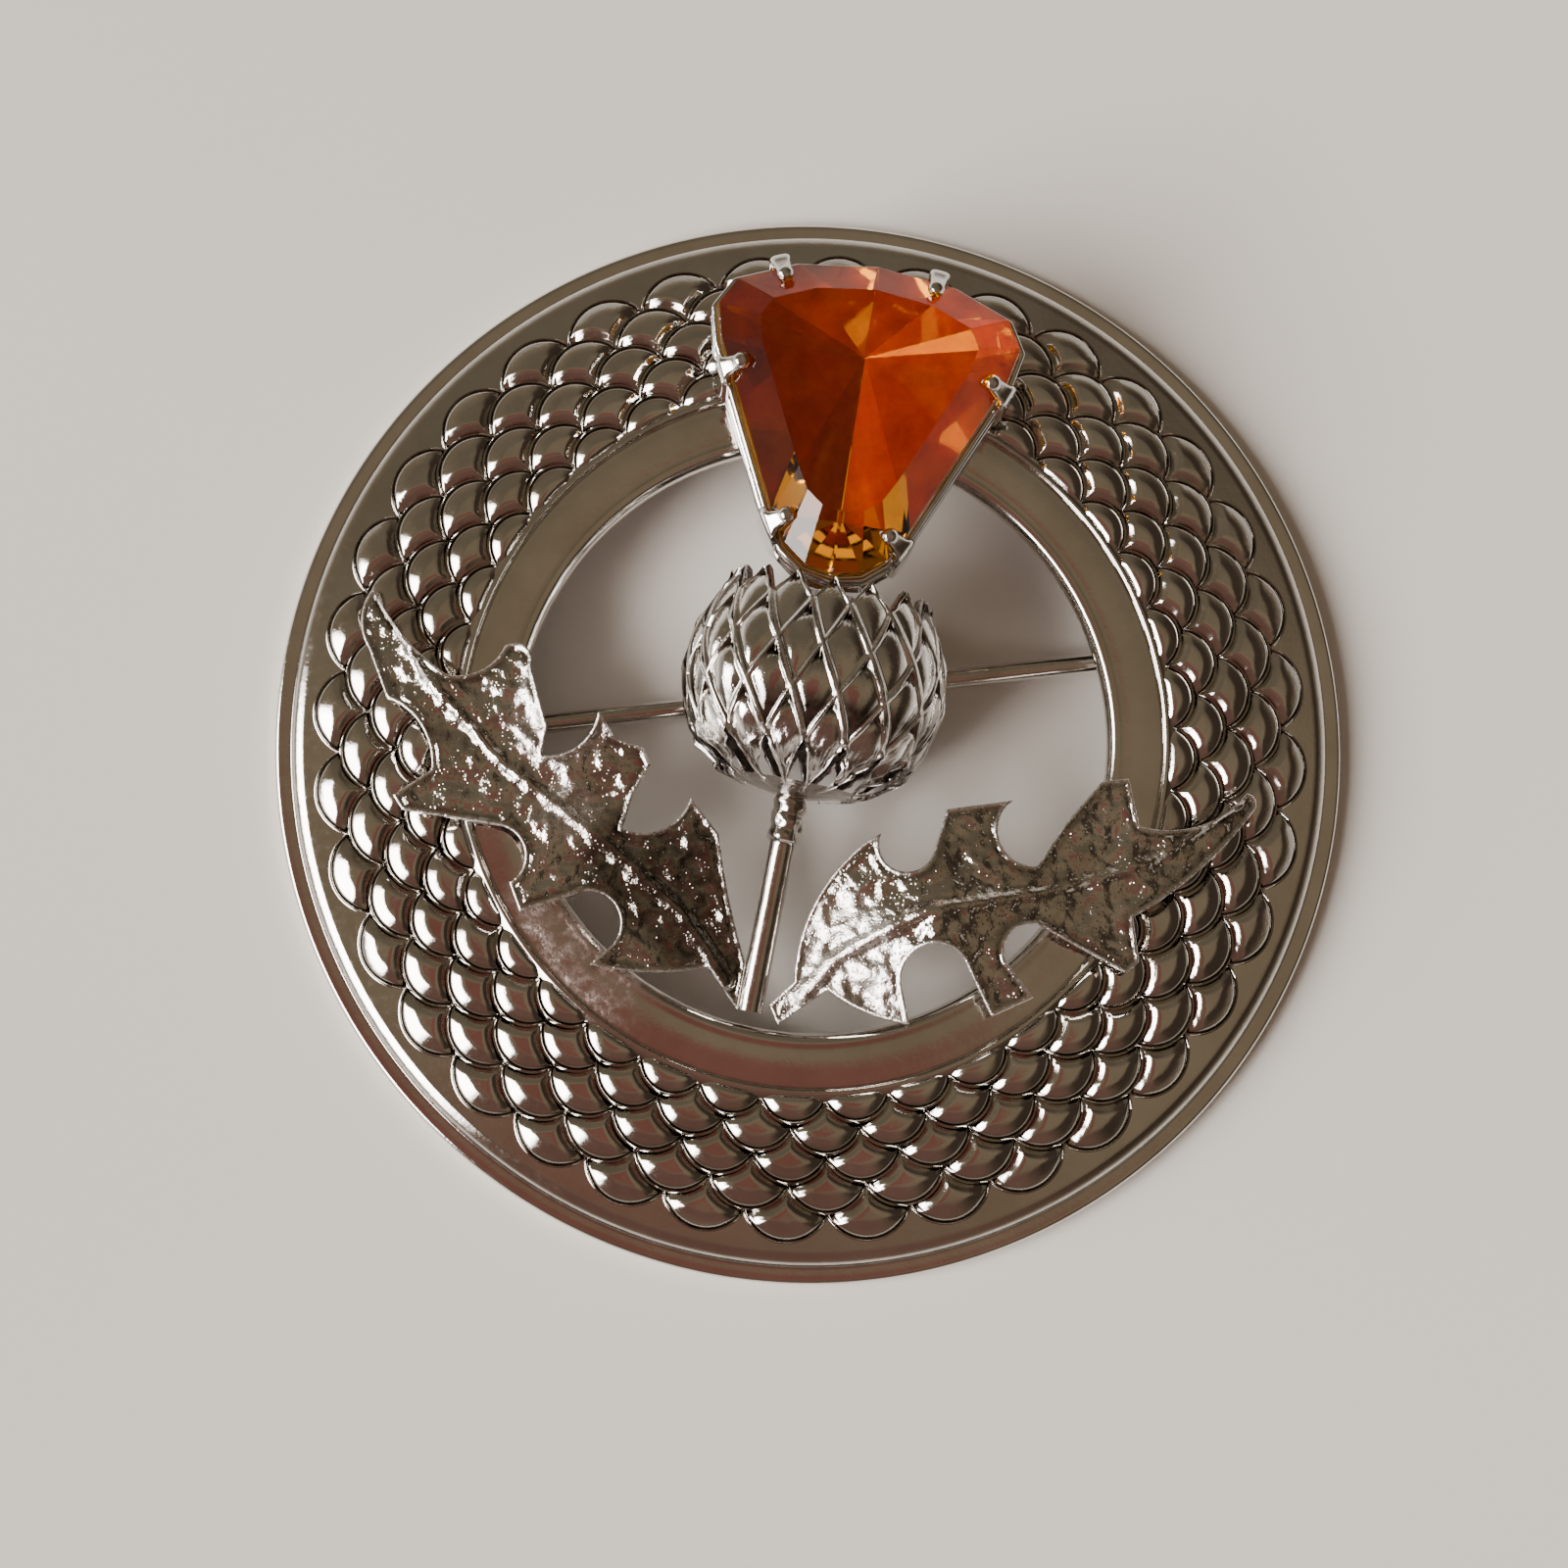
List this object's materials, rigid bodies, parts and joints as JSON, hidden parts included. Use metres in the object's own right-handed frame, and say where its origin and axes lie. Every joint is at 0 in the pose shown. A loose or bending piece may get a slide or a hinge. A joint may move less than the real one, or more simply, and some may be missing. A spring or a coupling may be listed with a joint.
{
  "type": "thistle brooch",
  "caption": "Round openwork brooch with a fish-scale ring, a thistle spray with a claw-set fan-shaped stone, and a hinged pin with an open catch behind.",
  "frame": {"origin": "centre of the ring, on the surface that the brooch lies on", "axes": "+X along the pin towards its point, +Y up as worn, +Z out of the front"},
  "size_m": [0.05, 0.05, 0.0103],
  "materials": {
    "ring_plate": "polished bright plating on cast or stamped brass",
    "thistle_head": "polished bright plating on cast or stamped brass",
    "stem": "polished bright plating on cast or stamped brass",
    "leaf_left": "polished bright plating on cast or stamped brass",
    "leaf_right": "polished bright plating on cast or stamped brass",
    "claw_setting": "polished bright plating on cast or stamped brass",
    "pin_hinge": "polished bright plating on cast or stamped brass",
    "catch": "polished bright plating on cast or stamped brass",
    "stone": "faceted amber glass",
    "pin": "drawn wire, plated"
  },
  "bodies": {
    "brooch": {"ring_plate": "ring_plate", "thistle_head": "thistle_head", "stem": "stem", "leaf_left": "leaf_left", "leaf_right": "leaf_right", "claw_setting": "claw_setting", "stone": "stone", "pin_hinge": "pin_hinge", "catch": "catch"},
    "pin": {"pin": "pin"}
  },
  "joints": [
    {"name": "pin_swing", "type": "hinge", "parent": "brooch", "child": "pin", "pos_m": [-0.0175, 0.0023, 0.0011], "axis": [0, 1, 0], "range_deg": [0, 100]}
  ]
}
